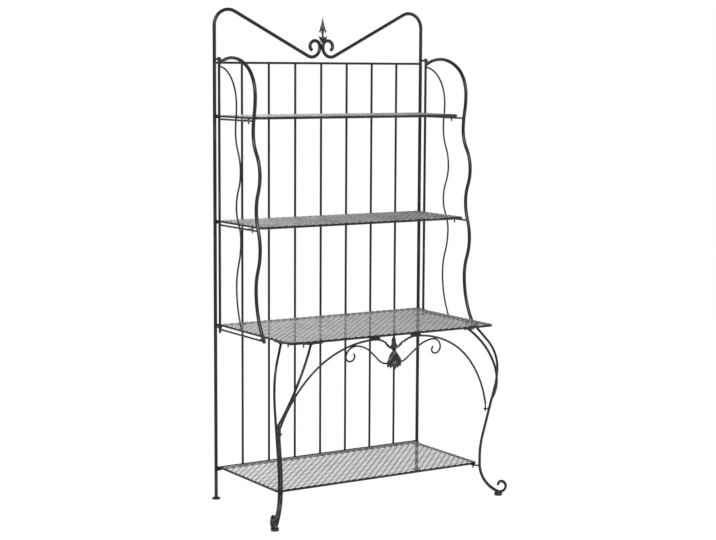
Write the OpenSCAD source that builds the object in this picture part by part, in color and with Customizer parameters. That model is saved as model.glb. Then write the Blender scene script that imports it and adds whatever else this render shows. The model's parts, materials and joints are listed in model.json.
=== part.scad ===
// Folding plant stand: a bar-backed frame with two swinging side frames, four folding
// mesh shelves and a lift-off front stand of paired-rod legs and a scrolled apron.
// Millimetres. +Z is up, the front faces -Y and the origin lies on the floor
// under the middle of the whole stand.

/* [Back frame] */
// Distance between the centre lines of the two back posts
post_spacing = 850; // [820:1:900]
// Outside diameter of the back posts and their crest
post_d = 12; // [10:0.5:13]
// Height of the top rail
rail_z = 1519; // [1505:1:1525]
// Height of the bottom rail
bottom_rail_z = 111; // [109:0.5:112]
// Diameter of both rails
rail_d = 8; // [6:0.5:9]
// Number of upright bars
bar_count = 7; // [5:1:9]
// Diameter of the upright bars
bar_d = 8; // [6:0.5:8.5]
// Diameter of the round feet under the posts
rear_foot_d = 30; // [20:1:40]
// Thickness of the round feet under the posts
rear_foot_h = 6; // [4:0.5:10]

/* [Crest] */
// Height of the tops of the two crest humps
crest_z = 1700; // [1660:1:1760]
// Bend radius of the crest humps
hump_r = 54; // [40:1:80]
// Height of the low points of the crest beside the middle
dip_z = 1541; // [1530:1:1560]
// Bend radius of those low points
dip_r = 33; // [26:1:40]
// Clear gap between the two crest tubes at the middle
crest_gap = 1; // [0.5:0.25:3]
// Bend radius of the ram's horn scrolls
horn_r = 20; // [16:0.5:26]
// Length of the spear finial's head
spear_len = 56; // [40:1:70]
// Width of the spear finial's head
spear_w = 23; // [16:1:30]

/* [Side frames] */
// Distance of the hinge tube's axis in front of the back post's
hinge_off = 33.6; // [32:0.2:36]
// Diameter of the hinge tube
hinge_tube_d = 9; // [8:0.5:10]
// Height of the hinge tube's bottom end
hinge_tube_z0 = 597; // [592:1:598]
// Height of the hinge tube's top end
hinge_tube_z1 = 1534.5; // [1532:0.5:1536]
// Diameter of the waved front tube
front_tube_d = 12; // [10:0.5:13]
// Diameter of the waved inner rod
inner_rod_d = 6; // [5:0.5:7]
// Diameter of the horizontal arms
arm_d = 7; // [6:0.5:7]
// How far the arms of the upper shelves lie below the shelf rims
arm_drop = 8.5; // [8:0.1:9.5]
// How far the lowest arm lies below the desk's rim
desk_arm_drop = 9.5; // [9:0.1:10]
// Thickness of the forked lugs on the arms
lug_t = 2.2; // [1.6:0.1:2.6]
// Width of the forked lugs
lug_w = 16; // [13:0.5:22]

/* [Shelves] */
// Height of the top shelf's rim
top_z = 1337; // [1325:1:1345]
// Height of the middle shelf's rim
middle_z = 976; // [972:1:982]
// Height of the desk's rim
desk_z = 615; // [613:1:617]
// Height of the bottom shelf's rim
bottom_z = 109; // [108:1:111]
// Distance of the upper shelves' side rods inside the posts' centre lines
upper_inset = 19; // [18:0.5:21]
// Distance of the desk's side rods inside the posts' centre lines
desk_inset = 19; // [18:0.5:21]
// Distance of the bottom shelf's side rods inside the posts' centre lines
bottom_inset = 19; // [18:0.5:21]
// Reach of the top shelf's front rim from the posts
top_reach = 263; // [250:1:266]
// Reach of the middle shelf's front rim from the posts
middle_reach = 302; // [280:1:310]
// Reach of the desk's front rim from the posts
desk_reach = 487; // [480:1:492]
// Reach of the bottom shelf's front rim from the posts
bottom_reach = 402; // [398:1:405]
// Diameter of the shelf rims
rim_d = 8; // [6:0.5:8]
// Radius of the rims' front corners
corner_r = 12; // [8:1:20]
// Pitch of the diamond mesh
mesh_pitch = 54; // [44:1:90]
// Width of the mesh strands
strand_w = 5; // [2.5:0.5:8]
// Thickness of the mesh
mesh_t = 1.5; // [1:0.25:1.75]
// Reach of the top shelf's locating pegs from the posts
top_peg_reach = 218; // [200:1:235]
// Reach of the middle shelf's locating pegs from the posts
middle_peg_reach = 243; // [210:1:260]
// Reach of the desk's side pegs from the posts
desk_peg_reach = 322; // [290:1:325]
// Diameter of the locating pegs
peg_d = 5; // [4:0.5:6]
// Length of the locating pegs below the rims
peg_len = 16; // [12:0.5:20]

/* [Shelf hinges] */
// Distance of the shelves' rear rods, on which they turn, in front of the posts
pivot_off = 10.5; // [10.4:0.1:11]
// Outside diameter of the eyes that hold the ends of those rods
eye_d = 13.2; // [13:0.1:13.5]
// Clearance of the turning parts, on the radius
turn_clear = 0.1; // [0.05:0.01:0.1]
// Clearance between resting or facing parts
rest_clear = 0.3; // [0.2:0.05:0.4]
// Clearance of the pegs in their holes and forks, on the radius
peg_clear = 1.5; // [1.2:0.1:1.6]

/* [Legs] */
// Distance from a post to the point of the back where its leg's diagonal starts
leg_root = 425; // [424:0.5:426]
// Diameter of the leg rods
leg_rod_d = 8.5; // [7:0.5:9]
// Clear gap between the two rods of a leg
leg_rod_gap = 0.5; // [0.4:0.1:1]
// Reach of a leg's foot from the back, along the leg's own diagonal
foot_reach = 650; // [640:1:660]
// Diameter of the foot pads
pad_d = 28; // [22:1:34]
// Height of the foot pads
pad_h = 12; // [10.5:0.5:12.5]
// Bend radius of the outward sweep above the foot
sweep_r = 104; // [98:1:108]
// Bend radius of the bulge below the desk
bulge_r = 148; // [140:1:160]
// Height at which the inner rod leaves the outer rod
split_z = 345; // [335:1:355]
// Width of the top plates
plate_w = 20; // [18:1:24]
// Thickness of plates, corner bars and tabs
plate_t = 3; // [2:0.5:3.5]

/* [Apron] */
// Diameter of the apron's arch rods
arch_d = 7; // [6:0.5:8]
// Diameter of the apron's scroll rods
scroll_d = 6; // [5:0.5:6.5]
// Lean of the apron's plane
apron_lean = 10.3; // [9.5:0.1:11]
// Distance of the arch tops from the middle
arch_top_x = 82; // [76:1:88]
// Main bend radius of the arch
arch_r = 323; // [316:1:328]
// Height of the tabs that carry the arch ends
arch_tab_z = 312; // [308:1:314]
// Length of the hanging leaf ornament
leaf_len = 116; // [100:1:124]
// Width of the hanging leaf ornament
leaf_w = 62; // [50:1:70]

/* [Hidden] */
$fn = 64;

half = post_spacing / 2;
post_r = post_d / 2;
rim_r = rim_d / 2;
upper_half = half - upper_inset;
desk_half = half - desk_inset;
bottom_half = half - bottom_inset;
eye_x0 = half - 14;
eye_x1 = half - 2;
eps = 0.01;
seam = 0.02;
core_depth = 0.05;

// Slope and length of the crest's straight run between hump and dip
crest_mid_x = crest_gap / 2 + post_r;
hump_c = [half - hump_r, crest_z - hump_r];
dip_c = [crest_mid_x + dip_r, dip_z + dip_r];
crest_dist = norm(hump_c - dip_c);
crest_slope = atan2(hump_c[1] - dip_c[1], hump_c[0] - dip_c[0])
    + asin((hump_r + dip_r) / crest_dist);
crest_run = sqrt(pow(crest_dist, 2) - pow(hump_r + dip_r, 2));
horn_run = 4;
stem_r = 5;
finial_y = -sqrt(pow(post_r + stem_r, 2) - pow(crest_mid_x, 2));

// Turning points of the waved tube and rod: reach from the posts and height
front_wave = [[286, 1410], [272, 1290], [317, 1150], [292, 1035], [318, 905], [290, 770]];
inner_wave = [[157, 1378], [150, 1290], [184, 1155], [155, 1035], [186, 925], [155, 765]];
front_shoulder_r = 113;
front_shoulder_a = 60;
front_crown_r = 209;
front_tail_r = 280;
inner_shoulder_r = 129;
inner_tail_r = 307;

// Heights of the arms, and of the rings that hold the hinge tubes
arm_zs = [top_z - arm_drop, middle_z - arm_drop, desk_z - desk_arm_drop];
ring_h = 7;
ring_wall = 2.6;
ring_zs = [desk_z - desk_arm_drop + arm_d / 2 + rest_clear, hinge_tube_z1 - rest_clear - ring_h];

// The legs stand in vertical planes at 45 degrees to the back
diag = 45;
leg_root_x = half - leg_root;
leg_side = 9.5;
leg_pitch = leg_rod_d + leg_rod_gap;
outer_t = leg_side - leg_pitch / 2;
inner_t = leg_side + leg_pitch / 2;
pad_edge = 3;
pad_off = 4;
foot_lift = 1.7;
foot_z = pad_h - pad_edge + leg_rod_d / 2 + foot_lift;
foot_heading = 67.4;
lean = 13;
shin_run = 25;
calf_r = 350;
bulge_low_r = 280;
thigh_run = 184;
thigh_a = 42;
plate_top = desk_z - rim_r - plate_t - rest_clear;
plate_bottom = plate_top - plate_t;
split_u = foot_reach - sweep_r * (1 - cos(foot_heading)) + calf_r * (1 - cos(lean))
    + (split_z - foot_z - sweep_r * sin(foot_heading) - shin_run - calf_r * sin(lean)) * tan(lean);
// Three points of the inner rod's upper bow: along the diagonal, across it, and height
bow = [[split_u, inner_t, split_z], [647.7, 73.5, 460], [557, 105, plate_bottom]];
outer_top = [561.5, outer_t];

scroll_out_r = 22;
scroll_in_rs = [16, 11];
brow_run = 120;
beyond = 1000;

// A point given along and across a leg's diagonal, as distances out and forward
function from_diag(u, t) = [leg_root_x + (u - t) * cos(diag), -(u + t) * sin(diag)];
// Centre and axis of the circle through three points
function circle_of(p) =
    let (a = p[1] - p[0], b = p[2] - p[0], n = cross(a, b))
        [p[0] + (cross(n, a) * (b * b) + cross(b, n) * (a * a)) / (2 * (n * n)), n / norm(n)];

bow_points = [for (p = bow) concat(from_diag(p[0], p[1]), p[2])];
bow_c = circle_of(bow_points);
bow_r = norm(bow_points[0] - bow_c[0]);

// The front edge of the stand is the bow's, and the shift centres the stand over the origin
front_edge = bow_r * sqrt(1 - pow(bow_c[1][1], 2)) - bow_c[0][1] + leg_rod_d / 2;
shift_y = (front_edge - rear_foot_d / 2) / 2;

// The apron's plane passes under the desk's front rim
apron_z = desk_z - rim_r - rest_clear - plate_t - arch_d / 2;

// Height step of a waved run, as two equal bends between upright tangents
function wave_angle(a, b) = 2 * atan(abs(b[0] - a[0]) / (a[1] - b[1]));
function wave_radius(a, b) = (a[1] - b[1]) / (2 * sin(wave_angle(a, b)));
function wave_steps(p) = [
    for (i = [0 : len(p) - 2])
        let (
            s = sign(p[i + 1][0] - p[i][0]),
            w = wave_angle(p[i], p[i + 1]),
            r = wave_radius(p[i], p[i + 1])
        )
            each [[r, s * w], [r, -s * w]]
];
function last(p) = p[len(p) - 1];
function tail_angle(p, r, z) = asin((last(p)[1] - z) / r);
// Reach of a waved run at a height, and its turn from upright there
function wave_at(p, tail_r, z) =
    z <= last(p)[1]
        ? let (a = tail_angle(p, tail_r, z)) [last(p)[0] + tail_r * (1 - cos(a)), a]
        : [for (i = [0 : len(p) - 2]) if (z <= p[i][1] && z > p[i + 1][1])
            let (
                s = sign(p[i + 1][0] - p[i][0]),
                r = wave_radius(p[i], p[i + 1]),
                top = p[i][1] - z < (p[i][1] - p[i + 1][1]) / 2,
                a = asin((top ? p[i][1] - z : z - p[i + 1][1]) / r)
            ) top ? [p[i][0] + s * r * (1 - cos(a)), s * a] : [p[i + 1][0] - s * r * (1 - cos(a)), s * a]][0];

// A rod is drawn step by step in the XY plane from a start [x, y, heading]. Each step is
// [radius, angle] for a bend, to the left if the angle is positive, or [0, length] for a
// straight run. Its pieces meet at hairline seams over a core, so that they join as one.
function advance(p, s) =
    s[0] == 0 ? [p[0] + s[1] * cos(p[2]), p[1] + s[1] * sin(p[2]), p[2]]
        : let (k = sign(s[1]) * s[0], e = p[2] + s[1])
            [p[0] + k * (sin(e) - sin(p[2])), p[1] - k * (cos(e) - cos(p[2])), e];
function ends(p, steps, i = 0) =
    i < len(steps) ? concat([p], ends(advance(p, steps[i]), steps, i + 1)) : [p];

module rod_piece(p, s, d, head, tail) {
    if (s[0] == 0) {
        translate([p[0] + head * cos(p[2]), p[1] + head * sin(p[2]), 0])
            rotate([0, 90, p[2]]) cylinder(h = s[1] - head - tail, d = d);
    } else {
        k = sign(s[1]);
        head_a = head / s[0] * 180 / PI;
        tail_a = tail / s[0] * 180 / PI;
        first = k > 0 ? p[2] - 90 + head_a : p[2] + 90 + s[1] + tail_a;
        translate([p[0] - k * s[0] * sin(p[2]), p[1] + k * s[0] * cos(p[2]), 0]) rotate([0, 0, first])
            rotate_extrude(angle = abs(s[1]) - head_a - tail_a, $fn = 180)
                translate([s[0], 0]) circle(d = d, $fn = 32);
    }
}

module core(p, d) {
    translate([p[0], p[1], 0]) rotate([0, 90, p[2]])
        cylinder(h = 1, d = d - 2 * core_depth, center = true);
}

module bent_rod(start, steps, d, head = 0) {
    at = ends(start, steps);
    for (i = [0 : len(steps) - 1]) {
        rod_piece(at[i], steps[i], d, i == 0 ? head : seam, i == len(steps) - 1 ? 0 : seam);
        if (i > 0) core(at[i], d);
    }
}

// Two runs of one rod that leave the same point in opposite directions
module two_way_rod(start, steps, back_steps, d) {
    bent_rod(start, steps, d, seam);
    bent_rod([start[0], start[1], start[2] + 180], back_steps, d, seam);
    core(start, d);
}

// Draws its children upright: X of the drawing goes along the given turn, Y goes up
module upright(turn = 0) {
    rotate([0, 0, turn]) rotate([90, 0, 0]) children();
}

module both_sides() {
    children();
    mirror([1, 0, 0]) children();
}

module placed() {
    translate([0, shift_y, 0]) children();
}

module iron() {
    color([0.13, 0.13, 0.14]) placed() children();
}

module pewter() {
    color([0.22, 0.22, 0.23]) placed() children();
}

module plastic() {
    color([0.05, 0.05, 0.05]) placed() children();
}

// Pointed leaf between two equal arcs, its base at the origin and its tip along +Y
module leaf_2d(len, w) {
    r = (pow(len / 2, 2) + pow(w / 2, 2)) / w;
    intersection() {
        translate([r - w / 2, len / 2]) circle(r = r, $fn = 128);
        translate([w / 2 - r, len / 2]) circle(r = r, $fn = 128);
    }
}

// Back frame

module post_cylinder(side) {
    translate([side * half, 0, 0]) cylinder(h = crest_z - hump_r, d = post_d);
}

module back_post_solid() {
    steps = [
        [0, crest_z - hump_r - rear_foot_h],
        [hump_r, 90 + crest_slope],
        [0, crest_run],
        [dip_r, -90 - crest_slope],
        [0, horn_run],
        [horn_r, -180],
        [horn_r * 0.7, -65]
    ];
    upright() bent_rod([half, rear_foot_h, 90], steps, post_d);
}

module back_post_right() {
    iron() back_post_solid();
}

module back_post_left() {
    iron() mirror([1, 0, 0]) back_post_solid();
}

module rail_cylinder(z) {
    translate([-half, 0, z]) rotate([0, 90, 0]) cylinder(h = post_spacing, d = rail_d);
}

module rail(z) {
    difference() {
        rail_cylinder(z);
        post_cylinder(-1);
        post_cylinder(1);
    }
}

module top_rail() {
    iron() rail(rail_z);
}

module bottom_rail() {
    iron() rail(bottom_rail_z);
}

module back_bars() {
    bay = post_spacing / (bar_count + 1);
    iron() difference() {
        for (i = [1 : bar_count])
            translate([i * bay - half, 0, bottom_rail_z]) cylinder(h = rail_z - bottom_rail_z, d = bar_d);
        rail_cylinder(rail_z);
        rail_cylinder(bottom_rail_z);
    }
}

module spear_finial() {
    stem_z = dip_z + dip_r - 2;
    head_z = stem_z + 46;
    pewter() translate([0, finial_y, 0]) {
        translate([0, 0, stem_z]) cylinder(h = head_z - stem_z + 4, r = stem_r);
        translate([0, 0, stem_z - 4]) cylinder(h = 4, r1 = 2, r2 = stem_r);
        translate([0, 0, head_z + 2]) upright() linear_extrude(6, center = true) {
            translate([0, -2]) leaf_2d(spear_len, spear_w);
            for (s = [-1, 1]) {
                rotate(-s * 62) leaf_2d(17, 7);
                translate([s * 3, -16]) rotate(-s * 48) leaf_2d(19, 7);
            }
        }
        translate([0, 0, head_z]) upright() linear_extrude(9, center = true)
            leaf_2d(spear_len * 0.8, spear_w * 0.3);
    }
}

module rear_feet() {
    plastic() both_sides() translate([half, 0, 0]) rotate_extrude() polygon([
        [0, 0], [rear_foot_d / 2 - 1, 0], [rear_foot_d / 2, 1],
        [rear_foot_d / 2, rear_foot_h - 2], [rear_foot_d / 2 - 3, rear_foot_h], [0, rear_foot_h]
    ]);
}

// Rings that hold the hinge tubes, each on a flat tab from the post
module side_hinge_eyes() {
    ring_d = hinge_tube_d + 2 * turn_clear;
    iron() both_sides() for (z = ring_zs) difference() {
        translate([half, 0, z]) {
            translate([0, -hinge_off, 0]) cylinder(h = ring_h, d = ring_d + 2 * ring_wall);
            translate([-2, -hinge_off, 0]) cube([4, hinge_off, ring_h]);
        }
        translate([half, -hinge_off, z - eps]) cylinder(h = ring_h + 2 * eps, d = ring_d);
        post_cylinder(1);
    }
}

// Eyes on the posts for the ends of the shelves' rear rods
module shelf_eyes() {
    iron() both_sides() for (z = [top_z, middle_z, desk_z, bottom_z]) difference() {
        translate([eye_x0, -pivot_off, z]) rotate([0, 90, 0]) cylinder(h = eye_x1 - eye_x0, d = eye_d);
        translate([eye_x0 - 1, -pivot_off, z]) rotate([0, 90, 0])
            cylinder(h = eye_x1 - eye_x0 + 2, d = rim_d + 2 * turn_clear);
        post_cylinder(1);
        rail_cylinder(bottom_rail_z);
    }
}

// Side frames, drawn on the right and mirrored for the left

module in_side_plane() {
    translate([half, 0, 0]) upright(-90) children();
}

module hinge_tube_solid() {
    translate([half, -hinge_off, hinge_tube_z0])
        cylinder(h = hinge_tube_z1 - hinge_tube_z0, d = hinge_tube_d);
}

module front_tube_raw() {
    crown_c = front_wave[0][0] - front_shoulder_r * (1 - cos(front_shoulder_a))
        - front_crown_r * cos(front_shoulder_a);
    crown_a = acos((hinge_off + hinge_tube_d / 4 - crown_c) / front_crown_r) - front_shoulder_a;
    tail = [front_tail_r, tail_angle(front_wave, front_tail_r, arm_zs[2] - arm_d / 2)];
    in_side_plane() two_way_rod([front_wave[0][0], front_wave[0][1], 90],
        [[front_shoulder_r, front_shoulder_a], [front_crown_r, crown_a]],
        concat(wave_steps(front_wave), [tail]), front_tube_d);
}

module front_tube_solid() {
    difference() {
        front_tube_raw();
        hinge_tube_solid();
    }
}

module inner_rod_solid() {
    shoulder_a = acos(1 - (inner_wave[0][0] - hinge_off) / inner_shoulder_r);
    tail = [inner_tail_r, tail_angle(inner_wave, inner_tail_r, arm_zs[2])];
    difference() {
        in_side_plane() two_way_rod([inner_wave[0][0], inner_wave[0][1], 90],
            [[inner_shoulder_r, shoulder_a]], concat(wave_steps(inner_wave), [tail]), inner_rod_d);
        hinge_tube_solid();
        arm_cylinder(2);
    }
}

// Straight cutter along a waved run at a height
module wave_cutter(p, tail_r, z, d) {
    at = wave_at(p, tail_r, z);
    in_side_plane() translate([at[0], z, 0]) rotate([0, 0, at[1]]) rotate([90, 0, 0])
        cylinder(h = 40, d = d, center = true);
}

module arm_cylinder(i) {
    reach = wave_at(front_wave, front_tail_r, arm_zs[i])[0];
    translate([half, -hinge_off, arm_zs[i]]) rotate([90, 0, 0]) cylinder(h = reach - hinge_off, d = arm_d);
}

module arms_solid() {
    difference() {
        for (i = [0 : 2]) arm_cylinder(i);
        hinge_tube_solid();
        for (i = [0 : 2]) wave_cutter(front_wave, front_tail_r, arm_zs[i], front_tube_d);
        for (i = [0, 1]) wave_cutter(inner_wave, inner_tail_r, arm_zs[i], inner_rod_d);
    }
}

// A forked lug on an arm: its slot opens towards the shelves
module lug(z, reach, half_w, arm) {
    peg_x = half_w + rim_r + peg_d / 2;
    slot = peg_d + 2 * peg_clear;
    top = z - rim_r - rest_clear;
    difference() {
        translate([peg_x - peg_d / 2, -reach - lug_w / 2, top - lug_t])
            cube([half - peg_x + peg_d / 2 + 2, lug_w, lug_t]);
        translate([peg_x, -reach, top - lug_t - eps]) cylinder(h = lug_t + 2 * eps, d = slot);
        translate([peg_x - 10, -reach - slot / 2, top - lug_t - eps]) cube([10, slot, lug_t + 2 * eps]);
        arm_cylinder(arm);
    }
}

module lugs_solid() {
    lug(top_z, top_peg_reach, upper_half, 0);
    lug(middle_z, middle_peg_reach, upper_half, 1);
    lug(desk_z, desk_peg_reach, desk_half, 2);
}

module tube_caps_solid() {
    cap_h = 4;
    translate([half, -hinge_off, hinge_tube_z1]) cylinder(h = cap_h, d = hinge_tube_d + 3);
    translate([half, -hinge_off, hinge_tube_z0 - cap_h]) cylinder(h = cap_h, d = hinge_tube_d);
}

module side_right_hinge_tube() {
    iron() hinge_tube_solid();
}

module side_left_hinge_tube() {
    iron() mirror([1, 0, 0]) hinge_tube_solid();
}

module side_right_front_tube() {
    iron() front_tube_solid();
}

module side_left_front_tube() {
    iron() mirror([1, 0, 0]) front_tube_solid();
}

module side_right_inner_rod() {
    iron() inner_rod_solid();
}

module side_left_inner_rod() {
    iron() mirror([1, 0, 0]) inner_rod_solid();
}

module side_right_arms() {
    iron() arms_solid();
}

module side_left_arms() {
    iron() mirror([1, 0, 0]) arms_solid();
}

module side_right_lugs() {
    iron() lugs_solid();
}

module side_left_lugs() {
    iron() mirror([1, 0, 0]) lugs_solid();
}

module side_right_tube_caps() {
    plastic() tube_caps_solid();
}

module side_left_tube_caps() {
    plastic() mirror([1, 0, 0]) tube_caps_solid();
}

// Shelves

// Rod rim whose rear rod runs on at both ends into the eyes on the posts
module rim_solid(z, half_w, reach) {
    run = reach - pivot_off - corner_r;
    pin = eye_x1 - 1;
    translate([0, 0, z]) {
        bent_rod([-half_w, -pivot_off, -90],
            [[0, run], [corner_r, 90], [0, 2 * (half_w - corner_r)], [corner_r, 90], [0, run]], rim_d);
        translate([-pin, -pivot_off, 0]) rotate([0, 90, 0]) cylinder(h = 2 * pin, d = rim_d);
    }
}

// Half diagonals of a mesh opening for a lattice cell of half diagonals a and b
function opening(a, b) =
    let (inset = strand_w / 2 * norm([a, b]) / (a * b)) [a * (1 - inset), b * (1 - inset)];
function clamp(v, lo, hi) = max(lo, min(hi, v));
function diamond(c, o, w, d) = [
    for (k = [[-o[0], 0], [0, -o[1]], [o[0], 0], [0, o[1]]])
        [clamp(c[0] + k[0], -w / 2, w / 2), clamp(c[1] + k[1], -d / 2, d / 2)]
];

// Expanded mesh that lies on a rim, with its edge strands along the rods
module mesh_solid(z, half_w, reach) {
    w = 2 * half_w;
    d = reach - pivot_off;
    edge = strand_w;
    in_r = corner_r;
    nx = round((w - 2 * edge) / mesh_pitch);
    ny = round((d - 2 * edge) / mesh_pitch);
    px = (w - 2 * edge) / nx;
    py = (d - 2 * edge) / ny;
    o = opening(px / 2, py / 2);
    translate([0, -(reach + pivot_off) / 2, z + rim_r + 0.05]) linear_extrude(mesh_t) difference() {
        union() {
            translate([-w / 2, in_r - d / 2]) square([w, d - in_r]);
            translate([in_r - w / 2, -d / 2]) square([w - 2 * in_r, d]);
            for (s = [-1, 1]) translate([s * (w / 2 - in_r), in_r - d / 2]) circle(r = in_r);
        }
        for (i = [0 : nx - 1], j = [0 : ny - 1])
            polygon(diamond([(i + 0.5) * px - w / 2 + edge, (j + 0.5) * py - d / 2 + edge], o, w, d));
        for (i = [1 : nx - 1], j = [0 : ny])
            polygon(diamond([i * px - w / 2 + edge, j * py - d / 2 + edge], o, w, d - 2 * edge));
        for (i = [0, nx], j = [1 : ny - 1])
            polygon(diamond([i * px - w / 2 + edge, j * py - d / 2 + edge], o, w - 2 * edge, d));
    }
}

// Locating pegs welded to the outer sides of a rim
module side_pegs(z, half_w, reach) {
    both_sides() translate([half_w + rim_r + peg_d / 2, -reach, z - rim_r - peg_len])
        cylinder(h = peg_len + 2 * rim_r - 1, d = peg_d);
}

module top_shelf_rim() {
    iron() rim_solid(top_z, upper_half, top_reach);
}

module top_shelf_mesh() {
    pewter() mesh_solid(top_z, upper_half, top_reach);
}

module top_shelf_pegs() {
    iron() side_pegs(top_z, upper_half, top_peg_reach);
}

module middle_shelf_rim() {
    iron() rim_solid(middle_z, upper_half, middle_reach);
}

module middle_shelf_mesh() {
    pewter() mesh_solid(middle_z, upper_half, middle_reach);
}

module middle_shelf_pegs() {
    iron() side_pegs(middle_z, upper_half, middle_peg_reach);
}

module desk_rim() {
    iron() rim_solid(desk_z, desk_half, desk_reach);
}

module desk_mesh() {
    pewter() mesh_solid(desk_z, desk_half, desk_reach);
}

module desk_side_pegs() {
    iron() side_pegs(desk_z, desk_half, desk_peg_reach);
}

// Ends of a leg's top plate in plan, on the right
plate_a = from_diag(outer_top[0], outer_top[1]);
plate_b = from_diag(bow[2][0], bow[2][1]);
plate_len = norm(plate_b - plate_a);
plate_turn = atan2(plate_b[1] - plate_a[1], plate_b[0] - plate_a[0]);
leg_peg_at = [0.24, 0.76];

module along_plate(z) {
    translate([plate_a[0], plate_a[1], z]) rotate([0, 0, plate_turn]) children();
}

// Bars across the desk's front corners, welded under the rim
module desk_corner_bars() {
    z = desk_z - rim_r - plate_t;
    over = 60;
    iron() both_sides() intersection() {
        along_plate(z) translate([-over, -plate_w / 2, 0]) cube([plate_len + 2 * over, plate_w, plate_t]);
        translate([0, -desk_reach, z]) cube([desk_half, desk_reach, plate_t]);
    }
}

module desk_leg_pegs() {
    iron() both_sides() for (f = leg_peg_at)
        along_plate(desk_z - rim_r - plate_t - peg_len + 1) translate([f * plate_len, 0, 0])
            cylinder(h = peg_len - 1, d = peg_d);
}

module bottom_shelf_rim() {
    iron() rim_solid(bottom_z, bottom_half, bottom_reach);
}

module bottom_shelf_mesh() {
    pewter() mesh_solid(bottom_z, bottom_half, bottom_reach);
}

// Place of the pegs under the bottom shelf's front rod
bottom_peg_x = bottom_half - corner_r - 1;

module bottom_shelf_pegs() {
    iron() both_sides() difference() {
        translate([bottom_peg_x, -bottom_reach, bottom_z - rim_r - peg_len + 3])
            cylinder(h = peg_len - 3 + rim_r, d = peg_d);
        translate([0, -bottom_reach, bottom_z]) rotate([0, 90, 0]) cylinder(h = bottom_half, d = rim_d);
    }
}

// Legs, drawn on the right

// Places a drawing of [along the diagonal, height] at a distance across the diagonal
module in_leg_plane(t) {
    translate([leg_root_x, 0, 0]) rotate([0, 0, -diag]) translate([0, -t, 0]) upright() children();
}

knee_z = foot_z + sweep_r * sin(foot_heading) + shin_run + calf_r * sin(lean);
shin_u = foot_reach - sweep_r * (1 - cos(foot_heading));
scroll_steps = [[scroll_out_r, 180 - foot_heading], [scroll_in_rs[0], 90], [scroll_in_rs[1], 105]];

// Both rods of a leg from the foot up, then the steps that follow the sweep
module leg_rod(upper_steps) {
    two_way_rod([foot_reach, foot_z, 90 + foot_heading],
        concat([[sweep_r, -foot_heading], [0, shin_run], [calf_r, -lean]], upper_steps),
        scroll_steps, leg_rod_d);
}

// Straight cutters along both rods of a leg near a height
module rods_cutter(u, z, tilt) {
    for (t = [outer_t, inner_t]) in_leg_plane(t) translate([u, z, 0]) rotate([0, 0, -tilt])
        rotate([90, 0, 0]) cylinder(h = 30, d = leg_rod_d, center = true);
}

module above(z) {
    translate([-beyond, -beyond, z]) cube([2 * beyond, 2 * beyond, 0.4 * beyond]);
}

module outer_rod_solid() {
    thigh = [[0, thigh_run], [bulge_low_r, lean], [bulge_r, thigh_a], [0, brow_run]];
    difference() {
        in_leg_plane(outer_t) leg_rod(thigh);
        above(plate_bottom);
    }
}

// The bow, drawn from its first point to a little past its last
module bow_rod() {
    c = bow_c[0];
    z = bow_c[1];
    x = (bow_points[0] - c) / bow_r;
    y = cross(z, x);
    e = bow_points[2] - c;
    sweep = (atan2(e * y, e * x) + 360) % 360;
    multmatrix([[x[0], y[0], z[0], c[0]], [x[1], y[1], z[1], c[1]], [x[2], y[2], z[2], c[2]], [0, 0, 0, 1]])
        rotate_extrude(angle = sweep + 3, $fn = 180) translate([bow_r, 0]) circle(d = leg_rod_d, $fn = 32);
}

module inner_rod_leg_solid() {
    difference() {
        union() {
            difference() {
                in_leg_plane(inner_t) leg_rod([[0, thigh_run]]);
                above(split_z);
            }
            translate(bow_points[0]) sphere(d = leg_rod_d + 0.4);
            bow_rod();
        }
        above(plate_bottom);
    }
}

module top_plate_solid() {
    hole = peg_d + 2 * peg_clear;
    along_plate(plate_bottom) difference() {
        union() {
            translate([0, -plate_w / 2, 0]) cube([plate_len, plate_w, plate_t]);
            for (x = [0, plate_len]) translate([x, 0, 0]) cylinder(h = plate_t, d = plate_w);
        }
        for (f = leg_peg_at) translate([f * plate_len, 0, -eps]) cylinder(h = plate_t + 2 * eps, d = hole);
    }
}

module leg_right_outer_rod() {
    iron() outer_rod_solid();
}

module leg_left_outer_rod() {
    iron() mirror([1, 0, 0]) outer_rod_solid();
}

module leg_right_inner_rod() {
    iron() inner_rod_leg_solid();
}

module leg_left_inner_rod() {
    iron() mirror([1, 0, 0]) inner_rod_leg_solid();
}

module leg_right_top_plate() {
    iron() top_plate_solid();
}

module leg_left_top_plate() {
    iron() mirror([1, 0, 0]) top_plate_solid();
}

// A tab with a peg hole, welded to the leg rods and reaching from them to a peg. Its child
// is cut away.
module leg_tab(z, peg, root) {
    turn = atan2(peg[1] - root[1], peg[0] - root[0]);
    run = norm(peg - root);
    w = peg_d + 2 * peg_clear + 6;
    difference() {
        translate([root[0], root[1], z - plate_t]) rotate([0, 0, turn]) {
            translate([0, -w / 2, 0]) cube([run, w, plate_t]);
            translate([run, 0, 0]) cylinder(h = plate_t, d = w);
        }
        translate([peg[0], peg[1], z - plate_t - eps])
            cylinder(h = plate_t + 2 * eps, d = peg_d + 2 * peg_clear);
        children();
    }
}

module leg_shelf_tabs() {
    z = bottom_z - rim_r - rest_clear;
    iron() both_sides() leg_tab(z, [bottom_peg_x, -bottom_reach], from_diag(shin_u, leg_side))
        rods_cutter(shin_u, z, 0);
}

// The arch's run in the apron's plane, and its end in the stand's own frame
arch_start_r = 75;
arch_start_a = 39.6;
arch_a = 48.2;
arch_low_r = 435;
arch_low_a = 22.9;
arch_start = [
    arch_top_x - arch_start_r * sin(arch_start_a),
    -arch_start_r * (1 - cos(arch_start_a)),
    arch_start_a
];
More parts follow.
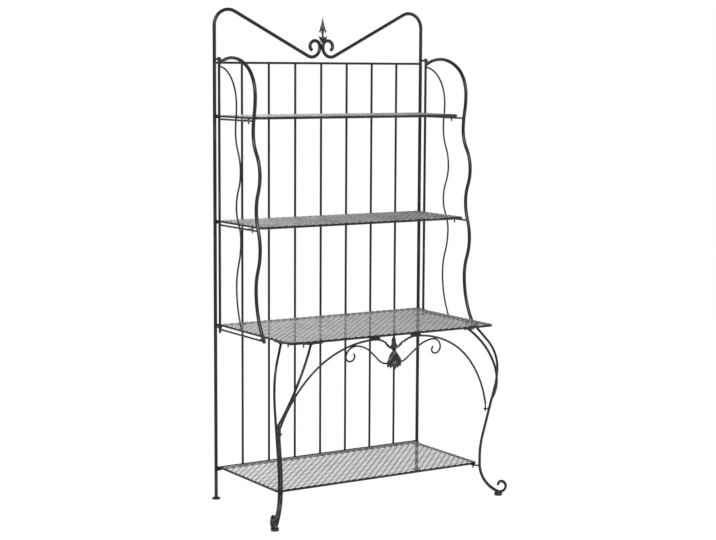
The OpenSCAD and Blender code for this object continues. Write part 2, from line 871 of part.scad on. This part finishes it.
// The arch follows the legs: further apart they give it a level run at its top, and closer
// together they tighten its bends
arch_free = last(ends([0, 0, 0], [[arch_r, -arch_a], [arch_low_r, -arch_low_a]]));
arch_level = max(0, leg_root_x);
arch_fit = 1 + min(0, leg_root_x) / (arch_free[0] - arch_free[1] / tan(arch_free[2]));
arch_bends = concat(
    [[arch_start_r, -arch_start_a]],
    arch_level > 2 * seam ? [[0, arch_level]] : [],
    [[arch_fit * arch_r, -arch_a], [arch_fit * arch_low_r, -arch_low_a]]
);
arch_tail_start = last(ends(arch_start, arch_bends));
arch_foot_z = arch_tab_z + 19;
arch_tail = (apron_z + arch_tail_start[1] * cos(apron_lean) - arch_foot_z)
    / (cos(apron_lean) * -sin(arch_tail_start[2]));
arch_end = advance(arch_tail_start, [0, arch_tail]);
arch_foot = [arch_end[0], -desk_reach - arch_end[1] * sin(apron_lean)];
arch_tab_u = split_u + (arch_tab_z - split_z) * tan(lean);

module leg_arch_tabs() {
    iron() both_sides() leg_tab(arch_tab_z, arch_foot, from_diag(arch_tab_u, leg_side))
        rods_cutter(arch_tab_u, arch_tab_z, lean);
}

module leg_foot_pads() {
    at = from_diag(foot_reach + pad_off, leg_side);
    groove_z = pad_h - pad_edge + leg_rod_d / 2;
    plastic() both_sides() difference() {
        translate([at[0], at[1], 0]) rotate_extrude() polygon([
            [0, 0], [pad_d / 2 - 1, 0], [pad_d / 2, 1],
            [pad_d / 2, pad_h - pad_edge], [pad_d / 2 - pad_edge, pad_h], [0, pad_h]
        ]);
        rods_cutter(foot_reach + pad_off, groove_z, 90);
    }
}

// Apron, drawn in its own leaning plane: X sideways, Y up the plane, Z to the front

module in_apron() {
    translate([0, -desk_reach, apron_z]) rotate([90 + apron_lean, 0, 0]) children();
}

module arch_solid() {
    in_apron() bent_rod(arch_start, concat(arch_bends, [[0, arch_tail]]), arch_d);
}

// The scroll's start beside the middle and its drop, its low bend, straight rise and long
// bend, and the radii of its curl
scroll_x = 24;
scroll_drop = 89.1;
scroll_low_r = 45;
scroll_rise = 54;
scroll_arm_r = 98;
scroll_curl_rs = [35, 19, 16, 12];

module scroll_solid() {
    steps = concat(
        [[scroll_low_r, 42], [0, scroll_rise], [scroll_arm_r, -38]],
        [for (i = [0 : 3]) [scroll_curl_rs[i], i < 3 ? -90 : -60]]
    );
    in_apron() bent_rod([scroll_x, -scroll_drop, 0], steps, scroll_d);
}

module apron_arch_right() {
    iron() arch_solid();
}

module apron_arch_left() {
    iron() mirror([1, 0, 0]) arch_solid();
}

module apron_scroll_right() {
    iron() scroll_solid();
}

module apron_scroll_left() {
    iron() mirror([1, 0, 0]) scroll_solid();
}

// Hanging bell of leaves in front of the rods, below a small bud
module apron_leaf() {
    back = arch_d / 2;
    waist = -42;
    tip = 4 - leaf_len;
    pewter() in_apron() translate([0, 0, back]) {
        linear_extrude(5) {
            for (a = [-32, 0, 32])
                translate([0, waist + 6]) rotate(180 + a) leaf_2d(waist + 6 - tip, leaf_w * 0.42);
            for (s = [-1, 1]) translate([0, -30]) rotate(-s * 58) leaf_2d(26, 10);
            translate([0, waist]) leaf_2d(46, 20);
        }
        linear_extrude(8) {
            translate([0, waist + 4]) rotate(180) leaf_2d(waist - tip - 6, leaf_w * 0.24);
            translate([0, waist + 6]) leaf_2d(32, 9);
        }
        translate([0, waist, 0]) cylinder(h = 7, d = 17);
    }
}

// Pads on the arches that meet the desk's front rim
module apron_rim_plates() {
    long = 38;
    wide = 9;
    z = desk_z - rim_r - rest_clear - plate_t;
    iron() both_sides() difference() {
        translate([arch_top_x - long / 2, -desk_reach - wide / 2, z - 2]) cube([long, wide, plate_t + 2]);
        in_apron() rotate([0, 90, 0]) cylinder(h = arch_top_x + long, d = arch_d);
    }
}

module apron_end_pins() {
    iron() both_sides() difference() {
        translate([arch_foot[0], arch_foot[1], arch_tab_z - 10])
            cylinder(h = arch_foot_z - arch_tab_z + 11, d = peg_d);
        in_apron() rod_piece(arch_tail_start, [0, arch_tail], arch_d, 1, 0);
    }
}

back_post_left();
back_post_right();
top_rail();
bottom_rail();
back_bars();
spear_finial();
rear_feet();
side_hinge_eyes();
shelf_eyes();
side_left_hinge_tube();
side_left_front_tube();
side_left_inner_rod();
side_left_arms();
side_left_lugs();
side_left_tube_caps();
side_right_hinge_tube();
side_right_front_tube();
side_right_inner_rod();
side_right_arms();
side_right_lugs();
side_right_tube_caps();
top_shelf_rim();
top_shelf_mesh();
top_shelf_pegs();
middle_shelf_rim();
middle_shelf_mesh();
middle_shelf_pegs();
desk_rim();
desk_mesh();
desk_side_pegs();
desk_corner_bars();
desk_leg_pegs();
bottom_shelf_rim();
bottom_shelf_mesh();
bottom_shelf_pegs();
leg_left_outer_rod();
leg_left_inner_rod();
leg_left_top_plate();
leg_right_outer_rod();
leg_right_inner_rod();
leg_right_top_plate();
leg_shelf_tabs();
leg_arch_tabs();
leg_foot_pads();
apron_arch_left();
apron_arch_right();
apron_scroll_left();
apron_scroll_right();
apron_leaf();
apron_rim_plates();
apron_end_pins();
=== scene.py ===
import math
import json
import bpy
import bmesh
from mathutils import Matrix, Vector


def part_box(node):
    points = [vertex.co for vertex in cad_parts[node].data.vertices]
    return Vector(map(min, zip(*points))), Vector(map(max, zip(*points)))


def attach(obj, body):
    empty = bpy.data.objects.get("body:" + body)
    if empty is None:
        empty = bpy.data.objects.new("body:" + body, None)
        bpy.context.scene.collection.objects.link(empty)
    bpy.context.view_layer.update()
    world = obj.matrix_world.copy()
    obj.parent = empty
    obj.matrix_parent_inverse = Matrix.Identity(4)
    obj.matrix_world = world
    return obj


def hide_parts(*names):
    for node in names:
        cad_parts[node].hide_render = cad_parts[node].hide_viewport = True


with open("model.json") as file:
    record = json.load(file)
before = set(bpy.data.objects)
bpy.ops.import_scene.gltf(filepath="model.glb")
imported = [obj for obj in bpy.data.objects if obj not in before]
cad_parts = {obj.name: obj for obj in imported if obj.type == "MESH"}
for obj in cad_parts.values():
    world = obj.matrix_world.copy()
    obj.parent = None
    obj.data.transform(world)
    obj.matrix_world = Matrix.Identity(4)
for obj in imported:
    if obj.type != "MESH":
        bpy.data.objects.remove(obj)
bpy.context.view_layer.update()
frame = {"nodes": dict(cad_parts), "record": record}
nodes = frame["nodes"]
mm = 0.001
towardsFront = Vector((0, -1, 0))
print("frame loaded:", len(nodes), "CAD pieces")


cameraSet = {
    "place": (-3.1802, -5.0067, 1.5137),
    "yaw": 32.418,  # turned right from +Y
    "pitch": -6.774,
    "roll": 0.326,
    "lens": 86.76,
    "sensor": 36.0,
    "reach": 60,  # nothing further away than this is seen
}


def makeCamera(s):
    yaw, pitch, roll = (math.radians(s[k]) for k in ("yaw", "pitch", "roll"))
    ahead = Vector((math.sin(yaw) * math.cos(pitch), math.cos(yaw) * math.cos(pitch), math.sin(pitch)))
    level = Vector((math.cos(yaw), -math.sin(yaw), 0))
    upright = level.cross(ahead)
    right = level * math.cos(roll) + upright * math.sin(roll)
    up = upright * math.cos(roll) - level * math.sin(roll)
    data = bpy.data.cameras.new("camera")
    data.lens = s["lens"]
    data.sensor_width = s["sensor"]
    data.clip_end = s["reach"]
    cam = bpy.data.objects.new("camera", data)
    bpy.context.scene.collection.objects.link(cam)
    turn = Matrix((right, up, -ahead)).transposed()
    cam.matrix_world = Matrix.Translation(s["place"]) @ turn.to_4x4()
    bpy.context.scene.camera = cam


makeCamera(cameraSet)
print("camera placed")


def newMaterial(name):
    mat = bpy.data.materials.new(name)
    mat.use_nodes = True
    tree = mat.node_tree
    shader = tree.nodes["Principled BSDF"]
    return mat, tree, shader


def addNode(tree, kind, x, y, **values):
    node = tree.nodes.new(kind)
    node.location = (x, y)
    for key, value in values.items():
        if key in node.inputs:
            node.inputs[key].default_value = value
        else:
            setattr(node, key, value)
    return node


def addNoise(tree, coord, x, y, scale, detail, roughness):
    noise = addNode(tree, "ShaderNodeTexNoise", x, y, Scale=scale, Detail=detail, Roughness=roughness)
    tree.links.new(coord.outputs["Object"], noise.inputs["Vector"])
    return noise


def addGloss(tree, shader, noise, x, y, rough):
    gloss = addNode(tree, "ShaderNodeMapRange", x, y)
    gloss.inputs["To Min"].default_value = rough[0]
    gloss.inputs["To Max"].default_value = rough[1]
    tree.links.new(noise.outputs["Fac"], gloss.inputs["Value"])
    tree.links.new(gloss.outputs["Result"], shader.inputs["Roughness"])


def addBump(tree, shader, noise, s):
    bump = addNode(tree, "ShaderNodeBump", -400, -250, Strength=s["bump"], Distance=s["bumpDepth"])
    tree.links.new(noise.outputs["Fac"], bump.inputs["Height"])
    tree.links.new(bump.outputs["Normal"], shader.inputs["Normal"])


def setRamp(node, stops):
    ramp = node.color_ramp
    for i, (at, colour) in enumerate(stops):
        stop = ramp.elements[i] if i < len(ramp.elements) else ramp.elements.new(at)
        stop.position = at
        stop.color = (*colour, 1)


paint = {
    "dark": (0.012, 0.012, 0.0125),
    "worn": (0.055, 0.055, 0.057),
    "rub": 0.42,  # how much of the surface is brushed paler
    "darkTo": 0.3,  # noise up to this keeps the dark tone
    "paler": 1.3,  # the middle tone against the dark one
    "fade": 0.2,  # how wide the step from the middle tone to the worn one is
    "metallic": 0.45,
    "rough": (0.26, 0.36),
    "patch": 9.0,
    "patchDetail": 3.0,
    "patchRoughness": 0.5,
    "grain": 900.0,
    "grainDetail": 3.0,
    "grainRoughness": 0.6,
    "bump": 0.02,
    "bumpDepth": 0.4 * mm,
}
# the deck is the same dark pewter as the rods, but its dark and worn tones are made many times paler as
# painted sheen. This stands for the light its strands' tops reflect at this low view. The noise between
# the two tones is the finish's own random variation.
deckPaintedSheen = {
    **paint,
    "dark": (0.26, 0.26, 0.263),
    "worn": (0.38, 0.38, 0.385),
    "metallic": 0.3,
    "rub": 0.5,
}
castingPaint = {
    **paint,
    "worn": (0.17, 0.17, 0.173),
    "rub": 0.5,
    "patch": 45.0,
}


def paintedSteel(name, s):
    mat, tree, shader = newMaterial(name)
    coord = addNode(tree, "ShaderNodeTexCoord", -1300, 0)
    clouds = addNoise(tree, coord, -1050, 250, s["patch"], s["patchDetail"], s["patchRoughness"])
    grain = addNoise(tree, coord, -1050, -150, s["grain"], s["grainDetail"], s["grainRoughness"])
    tone = addNode(tree, "ShaderNodeValToRGB", -750, 250)
    middleAt = 1 - s["rub"]
    middleTone = tuple(c * s["paler"] for c in s["dark"])
    wornAt = min(1, middleAt + s["fade"])
    setRamp(tone, [(s["darkTo"], s["dark"]), (middleAt, middleTone), (wornAt, s["worn"])])
    tree.links.new(clouds.outputs["Fac"], tone.inputs["Fac"])
    tree.links.new(tone.outputs["Color"], shader.inputs["Base Color"])
    shader.inputs["Metallic"].default_value = s["metallic"]
    addGloss(tree, shader, clouds, -750, -50, s["rough"])
    addBump(tree, shader, grain, s)
    return mat


plastic = {
    "colour": (0.012, 0.012, 0.012),
    "rough": (0.42, 0.62),
    "grain": 1400.0,
    "grainDetail": 4.0,
    "grainRoughness": 0.55,
    "bump": 0.15,
    "bumpDepth": 0.2 * mm,
}


def mouldedPlastic(name, s):
    mat, tree, shader = newMaterial(name)
    coord = addNode(tree, "ShaderNodeTexCoord", -1100, 0)
    grain = addNoise(tree, coord, -850, 0, s["grain"], s["grainDetail"], s["grainRoughness"])
    shader.inputs["Base Color"].default_value = (*s["colour"], 1)
    addGloss(tree, shader, grain, -550, 0, s["rough"])
    addBump(tree, shader, grain, s)
    return mat


steelPaint = paintedSteel("darkPewterPaint", paint)
# the deck's material carries painted sheen in its pale tones
meshPaintedSheen = paintedSteel("deckPaintedSheen", deckPaintedSheen)
castPaint = paintedSteel("castPaint", castingPaint)
blackPlastic = mouldedPlastic("blackPlastic", plastic)

slotOf = {row["node"]: row["material_slot"] for row in frame["record"]["subparts"]}
finishOf = {
    "dark_pewter_paint": steelPaint,
    "dark_pewter_mesh": meshPaintedSheen,
    "dark_pewter_casting": castPaint,
    "black_plastic": blackPlastic,
}
for name, piece in nodes.items():
    piece.data.materials.clear()
    piece.data.materials.append(finishOf[slotOf[name]])
print("materials made")


deck = {
    "pitch": (26.0 * mm, 28.0 * mm),  # one diamond across and along
    "strand": 3.6 * mm,
    "thick": 1.0 * mm,
    "tilt": 0.6 * mm,  # the strands lie like slats, their back edges this much up
    "knuckle": 0.16,  # blunt tip of an opening, as a share of its half width
    "lap": 1.0 * mm,  # runs this far past the CAD mesh on each side
    "weld": 0.01 * mm,  # corners nearer to each other than this become one
}
deckOf = {
    "top_shelf_mesh": "top_shelf",
    "middle_shelf_mesh": "middle_shelf",
    "desk_mesh": "desk",
    "bottom_shelf_mesh": "bottom_shelf",
}


def newPiece(name, bm, finish, smooth=True):
    data = bpy.data.meshes.new(name)
    bm.to_mesh(data)
    bm.free()
    data.materials.append(finish)
    for face in data.polygons:
        face.use_smooth = smooth
    obj = bpy.data.objects.new(name, data)
    bpy.context.scene.collection.objects.link(obj)
    return obj


def openingOutline(halfX, halfY, knuckle):
    # a diamond with its four tips cut blunt
    cutX, cutY = knuckle * halfX, knuckle * halfY
    farX, farY = halfX - cutX, halfY - cutY
    return [
        (-farX, -cutY), (-farX, cutY), (-cutX, farY), (cutX, farY),
        (farX, cutY), (farX, -cutY), (cutX, -farY), (-cutX, -farY),
    ]


def trimToBox(bm, low, high):
    sides = [
        (Vector((1, 0, 0)), high),
        (Vector((-1, 0, 0)), low),
        (Vector((0, 1, 0)), high),
        (Vector((0, -1, 0)), low),
    ]
    for outward, corner in sides:
        everything = bm.verts[:] + bm.edges[:] + bm.faces[:]
        bmesh.ops.bisect_plane(bm, geom=everything, plane_co=corner, plane_no=outward, clear_outer=True)


def makeDeck(node, body, s):
    low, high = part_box(node)
    lap = Vector((s["lap"], s["lap"], 0))
    low = low - lap
    high = high + lap
    z = (low.z + high.z) / 2
    across = round((high.x - low.x) / s["pitch"][0])
    along = round((high.y - low.y) / s["pitch"][1])
    hx = (high.x - low.x) / across / 2
    hy = (high.y - low.y) / along / 2
    inset = s["strand"] / 2 * math.hypot(hx, hy) / (hx * hy)
    ix, iy = hx * (1 - inset), hy * (1 - inset)
    inner = openingOutline(ix, iy, s["knuckle"])
    tips = ((-hx, 0), (0, hy), (hx, 0), (0, -hy))
    outer = [tip for tip in tips for half in range(2)]  # each blunt tip of inner has two corners
    bm = bmesh.new()
    for i in range(2 * across + 1):
        for j in range(2 * along + 1):
            if (i + j) % 2:
                continue
            cx, cy = low.x + i * hx, low.y + j * hy
            ring = [bm.verts.new((cx + x, cy + y, z - s["tilt"] * y / iy)) for x, y in inner]
            rim = [bm.verts.new((cx + x, cy + y, z)) for x, y in outer]
            for a in range(len(inner)):
                b = (a + 1) % len(inner)
                if outer[a] == outer[b]:
                    bm.faces.new((rim[a], ring[b], ring[a]))
                else:
                    bm.faces.new((rim[a], rim[b], ring[b], ring[a]))
    bmesh.ops.remove_doubles(bm, verts=bm.verts, dist=s["weld"])
    trimToBox(bm, low, high)
    bmesh.ops.recalc_face_normals(bm, faces=bm.faces)
    piece = newPiece(body + "Deck", bm, meshPaintedSheen, smooth=False)
    piece.data.materials.append(steelPaint)  # for the cut edges, which keep the plain dark paint without the painted sheen of the strands' tops, so they show darker
    solid = piece.modifiers.new("thickness", "SOLIDIFY")
    solid.thickness = s["thick"]
    solid.offset = 0
    solid.material_offset_rim = 1
    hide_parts(node)
    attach(piece, body)


for node, body in deckOf.items():
    makeDeck(node, body, deck)
print("decks made")


castSet = {
    "rodSides": 8,
    "curveSteps": 8,  # steps from one point of a bent rod to the next
    "ballRings": 8,
}


def joinRings(bm, rings):
    count = len(rings[0])
    for a, b in zip(rings, rings[1:]):
        for k in range(count):
            n = (k + 1) % count
            bm.faces.new((a[k], a[n], b[n], b[k]))
    bm.faces.new(rings[0][::-1])
    bm.faces.new(rings[-1])


def sweep(bm, path, radii, sides):
    rings = []
    across = None
    for i, point in enumerate(path):
        ahead = (path[min(i + 1, len(path) - 1)] - path[max(i - 1, 0)]).normalized()
        if across is None:
            across = ahead.orthogonal().normalized()
        across = (across - ahead * across.dot(ahead)).normalized()
        other = ahead.cross(across)
        ring = []
        for k in range(sides):
            a = 2 * math.pi * k / sides
            ring.append(bm.verts.new(point + (across * math.cos(a) + other * math.sin(a)) * radii[i]))
        rings.append(ring)
    joinRings(bm, rings)


def smoothPath(points, steps):
    # one smooth curve through all the points, drawn on straight past both ends
    path = []
    ends = [points[0] * 2 - points[1]] + points + [points[-1] * 2 - points[-2]]
    for a, b, c, d in zip(ends, ends[1:], ends[2:], ends[3:]):
        for k in range(steps):
            t = k / steps
            slope = (c - a) * t
            bend = (a * 2 - b * 5 + c * 4 - d) * t * t
            twist = (b * 3 - a - c * 3 + d) * t ** 3
            path.append(0.5 * (b * 2 + slope + bend + twist))
    path.append(points[-1])
    return path


def addBall(bm, place, radius, around):
    matrix = Matrix.Translation(place)
    rings = castSet["ballRings"]
    bmesh.ops.create_uvsphere(bm, u_segments=around, v_segments=rings, radius=radius, matrix=matrix)


bladeSet = {
    "rows": 22,
    "cols": 12,
    "width": 24 * mm,
    "belly": 1.5,  # above 1 the widest place moves towards the tip
    "fullness": 0.8,  # below 1 the outline is rounder
    "slimmest": 0.03,  # root and tip, as a share of the half width
    "teeth": 4,
    "toothed": (0.1, 0.97),  # the stretch of its length that has teeth
    "notch": 0.14,
    "bow": 9 * mm,
    "bowSpan": 0.8,  # the share of a half wave that the bow has run through at the tip
    "curl": 2 * mm,
    "rib": 1.3 * mm,
    "ribSharp": 6,
    "ribFade": 0.6,
    "vein": 0.8 * mm,
    "veinCount": 1.3,  # for each tooth
    "veinSlant": 1.1,
    "veinPeak": 3,
    "cup": 0.35,
    "thick": 1.8 * mm,
}


def bladeRow(bm, root, along, side, u, s):
    toothFrom, toothTo = s["toothed"]
    body = math.sin(math.pi * u ** s["belly"]) ** s["fullness"] if 0 < u < 1 else 0
    notch = 1 - s["notch"] * (1 - ((u * s["teeth"]) % 1)) if toothFrom < u < toothTo else 1
    half = s["width"] / 2 * max(body * notch, s["slimmest"])
    bow = s["bow"] * math.sin(math.pi * (u * s["bowSpan"]))
    middle = root + along * u + towardsFront * (bow - s["curl"] * u * u)
    row = []
    for j in range(s["cols"] + 1):
        v = 2 * j / s["cols"] - 1
        rib = s["rib"] * math.exp(-(v * s["ribSharp"]) ** 2) * (1 - s["ribFade"] * u)
        wave = math.cos(2 * math.pi * (u * s["teeth"] * s["veinCount"] - abs(v) * s["veinSlant"]))
        vein = s["vein"] * wave * abs(v) * (1 - abs(v)) * s["veinPeak"]
        lift = rib + vein * body - s["cup"] * v * v * half
        row.append(bm.verts.new(middle + side * (v * half) + towardsFront * lift))
    return row


def addBlade(bm, root, tip, s):
    rows, cols = s["rows"], s["cols"]
    along = tip - root
    side = along.cross(towardsFront).normalized()
    grid = [bladeRow(bm, root, along, side, i / rows, s) for i in range(rows + 1)]
    back = [[bm.verts.new(v.co - towardsFront * s["thick"]) for v in row] for row in grid]
    for i in range(rows):
        for j in range(cols):
            bm.faces.new((grid[i][j], grid[i][j + 1], grid[i + 1][j + 1], grid[i + 1][j]))
            bm.faces.new((back[i][j], back[i + 1][j], back[i + 1][j + 1], back[i][j + 1]))
    edge = [(i, 0) for i in range(rows)] + [(rows, j) for j in range(cols)]
    edge += [(i, cols) for i in range(rows, 0, -1)] + [(0, j) for j in range(cols, 0, -1)]
    for (i, j), (k, n) in zip(edge, edge[1:] + edge[:1]):
        bm.faces.new((grid[i][j], grid[k][n], back[k][n], back[i][j]))


def finishCast(bm, name, body, node):
    bmesh.ops.recalc_face_normals(bm, faces=bm.faces)
    piece = newPiece(name, bm, castPaint)
    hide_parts(node)
    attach(piece, body)


# the drop hangs plumb from where the arches' plane meets the desk. Only that place is in
# metres: the drop's own lengths are in millimetres from it, across, up and forward
leafSet = {
    "top": (0, -0.2225, 0.6042),
    "forward": 3.6,  # everything stands this far in front of that point
    "waist": -50,
    "tipLift": 0.4,  # how much of a leaf's own lift is left at its tip
    "bands": ((8.0, 0), (6.5, 6)),  # radius, and height over the waist
    "bandSteps": 16,
    "bandWire": 2.2,
    "bandForward": 3,
    "bandFlat": 0.55,  # depth of a band against its width
    "knob": (33, -17, 2),  # where a wing meets its arch
    "knobRadius": 3.2,
    "knobAround": 12,
}
# each tip is across, up, the leaf's width and its lift, and those off the middle are pairs
leafGroups = {
    "bell": {
        "tips": ((26, -101, 20, 0), (15, -105, 20, 1), (0, -115, 20, 4)),
        "gather": 0.3,  # a root is this much as far from the middle as its tip
        "rise": 0,  # roots over the waist
        "forward": (0, 0),  # roots and tips
        "shape": {"belly": 1.15, "notch": 0.1},
    },
    "collar": {
        "tips": ((14, -72, 12, 0), (0, -76, 12, 0)),
        "gather": 0.2,
        "rise": 5,
        "forward": (5, 7),
        "shape": {"bow": 5 * mm, "teeth": 3, "rows": 14, "rib": 0.9 * mm},
    },
    "bud": {
        "tips": ((10, -22, 12, 0), (5, -12, 12, 0), (0, 6, 17, 0)),
        "gather": 0.25,
        "rise": 6,
        "forward": (1, 1),
        "shape": {"bow": 5 * mm, "teeth": 1, "notch": 0, "rows": 12, "cup": 0.7, "curl": 0},
    },
    "wings": {  # they reach along the arches' ends
        "tips": ((36, -16, 10, 0),),
        "gather": 0.15,
        "rise": 8,
        "forward": (1, 2),
        "shape": {"bow": 3 * mm, "teeth": 2, "rows": 12, "rib": 0.8 * mm, "curl": 0},
    },
}


def bothSides(x):
    return (-x, x) if x else (0,)


def makeLeafDrop(s, groups):
    top = Vector(s["top"])
    up = Vector((0, 0, 1))

    def at(x, y, z):
        return top + Vector((x * mm, 0, 0)) + up * (y * mm) + towardsFront * ((z + s["forward"]) * mm)

    bm = bmesh.new()
    for group in groups.values():
        rootForward, tipForward = group["forward"]
        for across, y, wide, lift in group["tips"]:
            leaf = {**bladeSet, **group["shape"], "width": wide * mm}
            for x in bothSides(across):
                root = at(x * group["gather"], s["waist"] + group["rise"], rootForward + lift)
                tip = at(x, y, tipForward + lift * s["tipLift"])
                addBlade(bm, root, tip, leaf)
    for radius, rise in s["bands"]:
        ring = []
        for k in range(s["bandSteps"] + 1):
            a = 2 * math.pi * k / s["bandSteps"]
            depth = s["bandForward"] + s["bandFlat"] * radius * math.sin(a)
            ring.append(at(radius * math.cos(a), s["waist"] + rise, depth))
        sweep(bm, ring, [s["bandWire"] * mm] * len(ring), castSet["rodSides"])
    across, y, z = s["knob"]
    for x in bothSides(across):
        addBall(bm, at(x, y, z), s["knobRadius"] * mm, s["knobAround"])
    finishCast(bm, "leafDrop", "leg_frame", "apron_leaf")


smallBlade = {
    **bladeSet,
    "rows": 10,
    "cols": 6,
    "width": 8 * mm,
    "curl": 0,
    "vein": 0.3 * mm,
    "thick": 1.4 * mm,
}
# places are across, up from the floor and forward, in millimetres
finialSet = {
    "stem": (  # height and radius of the turned stem with its beads
        (1570, 3.0), (1574, 4.8), (1579, 4.9), (1583, 6.2), (1587, 4.2),
        (1598, 3.6), (1601, 5.4), (1604, 6.2), (1607, 5.2), (1610, 3.5),
        (1622, 3.2), (1626, 4.6), (1629, 4.8), (1632, 3.6),
    ),
    "stemSides": 14,
    "head": (  # height, half width and half depth of the spear
        (1630, 4.0, 3.6), (1634, 8.0, 4.6), (1638, 10.8, 5.0), (1641, 11.6, 5.0),
        (1646, 9.6, 4.6), (1655, 6.2, 3.6), (1667, 3.2, 2.4), (1678, 0.9, 0.8),
    ),
    "headEdges": 8,
    "pinch": 0.62,  # every other edge is drawn in to this share, for ridges
    "barb": {
        "points": ((2, 1634, 0), (8, 1635.5, 1), (12.5, 1632, 1), (12, 1628, 1)),
        "radii": (2.9, 1.7),
        "ease": 1,  # above 1 a rod stays thick for longer
    },
    "barbBall": (11.8, 1629.5, 1),
    "ballRadius": 3.3,
    "ballAround": 10,
    "horn": {
        "points": ((2, 1603, 0), (8, 1602, 2), (13.5, 1607, 2), (16.5, 1617.5, 1)),
        "radii": (3.4, 0.7),
        "ease": 1.5,
    },
    "curl": {
        "points": ((2, 1602, 0), (6.5, 1599.5, 2), (11, 1593, 1), (14.5, 1596.5, 0)),
        "radii": (3.0, 1.56),
        "ease": 1,
    },
    "sideLeaf": ((1.5, 1601, 4), (12.5, 1611, 3)),
    "sideShape": {**smallBlade, "bow": 1.5 * mm, "teeth": 2, "rib": 0.6 * mm},
    "frontLeaf": ((0, 1595, 3.5), (0, 1618, 3)),
    "frontShape": {**smallBlade, "bow": 2 * mm, "rib": 0.8 * mm},
}


def makeFinial(s):
    low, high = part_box("spear_finial")
    middle = Vector((0, (low.y + high.y) / 2, 0))

    def at(x, z, forward):
        return middle + Vector((x * mm, -forward * mm, z * mm))

    def bentRod(rod, side):
        points = [at(side * x, z, forward) for x, z, forward in rod["points"]]
        path = smoothPath(points, castSet["curveSteps"])
        thick, thin = rod["radii"]
        last = len(path) - 1
        radii = [(thick - (thick - thin) * (k / last) ** rod["ease"]) * mm for k in range(len(path))]
        sweep(bm, path, radii, castSet["rodSides"])

    bm = bmesh.new()
    stemPath = [at(0, z, 0) for z, radius in s["stem"]]
    sweep(bm, stemPath, [radius * mm for z, radius in s["stem"]], s["stemSides"])
    rings = []
    for z, wide, deep in s["head"]:
        ring = []
        for k in range(s["headEdges"]):
            a = 2 * math.pi * k / s["headEdges"]
            pull = s["pinch"] if k % 2 else 1
            ring.append(bm.verts.new(at(wide * pull * math.cos(a), z, deep * pull * math.sin(a))))
        rings.append(ring)
    joinRings(bm, rings)
    for side in (-1, 1):
        bentRod(s["barb"], side)
        x, z, forward = s["barbBall"]
        addBall(bm, at(side * x, z, forward), s["ballRadius"] * mm, s["ballAround"])
        bentRod(s["horn"], side)
        bentRod(s["curl"], side)
        root, tip = (at(side * x, z, forward) for x, z, forward in s["sideLeaf"])
        addBlade(bm, root, tip, s["sideShape"])
    root, tip = (at(x, z, forward) for x, z, forward in s["frontLeaf"])
    addBlade(bm, root, tip, s["frontShape"])
    finishCast(bm, "spearFinial", "back_frame", "spear_finial")


makeLeafDrop(leafSet, leafGroups)
makeFinial(finialSet)
print("cast ornaments made")


stageSet = {
    "floor": 6.0,
    "whiteFloor": 0.86,
    "roughFloor": 0.9,
    "glow": 0.85,  # share of plain white in the floor as the camera and reflections see it
    "strength": 1.11,
    "worldLight": 0.36,
}
white = (1, 1, 1, 1)


def makeFloor(s):
    bm = bmesh.new()
    bmesh.ops.create_grid(bm, x_segments=1, y_segments=1, size=s["floor"])
    mat, tree, shader = newMaterial("paleFloor")
    link = tree.links.new
    shader.inputs["Base Color"].default_value = (s["whiteFloor"],) * 3 + (1,)
    shader.inputs["Roughness"].default_value = s["roughFloor"]
    path = addNode(tree, "ShaderNodeLightPath", -600, 200)
    seen = addNode(tree, "ShaderNodeMath", -300, 200, operation="MAXIMUM")
    link(path.outputs["Is Camera Ray"], seen.inputs[0])
    link(path.outputs["Is Glossy Ray"], seen.inputs[1])
    share = addNode(tree, "ShaderNodeMath", -100, 200, operation="MULTIPLY")
    share.inputs[1].default_value = s["glow"]
    link(seen.outputs[0], share.inputs[0])
    glow = addNode(tree, "ShaderNodeEmission", -100, -250)
    glow.inputs["Color"].default_value = white
    glow.inputs["Strength"].default_value = s["strength"]
    mixed = addNode(tree, "ShaderNodeMixShader", 200, 0)
    link(share.outputs[0], mixed.inputs["Fac"])
    link(shader.outputs[0], mixed.inputs[1])
    link(glow.outputs[0], mixed.inputs[2])
    link(mixed.outputs[0], tree.nodes["Material Output"].inputs["Surface"])
    floor = newPiece("floor", bm, mat)


def makeWorld(s):
    world = bpy.data.worlds.new("world")
    bpy.context.scene.world = world
    world.use_nodes = True
    tree = world.node_tree
    link = tree.links.new
    light = tree.nodes["Background"]
    light.inputs["Color"].default_value = white
    light.inputs["Strength"].default_value = s["worldLight"]
    backdrop = addNode(tree, "ShaderNodeBackground", 0, -200)
    backdrop.inputs["Color"].default_value = white
    path = addNode(tree, "ShaderNodeLightPath", -300, 200)
    mixed = addNode(tree, "ShaderNodeMixShader", 300, 0)
    link(path.outputs["Is Camera Ray"], mixed.inputs["Fac"])
    link(light.outputs[0], mixed.inputs[1])
    link(backdrop.outputs[0], mixed.inputs[2])
    link(mixed.outputs[0], tree.nodes["World Output"].inputs["Surface"])


lamps = {
    "key": {"place": (-2.6, -3.0, 3.2), "size": 1.6, "power": 190},
    "fill": {"place": (3.4, -2.4, 2.0), "size": 2.0, "power": 60},
    "back": {"place": (0.5, 3.2, 2.8), "size": 2.0, "power": 40},
}
lampAim = (0, 0, 0.8)  # about half way up the stand


def makeLamp(name, s):
    data = bpy.data.lights.new(name, "AREA")
    data.size = s["size"]
    data.energy = s["power"]
    lamp = bpy.data.objects.new(name, data)
    bpy.context.scene.collection.objects.link(lamp)
    lamp.location = s["place"]
    lamp.rotation_euler = (Vector(lampAim) - lamp.location).to_track_quat("-Z", "Y").to_euler()


makeFloor(stageSet)
makeWorld(stageSet)
for name, s in lamps.items():
    makeLamp(name, s)
bpy.context.scene.view_settings.view_transform = "Standard"
print("stage and lights made")
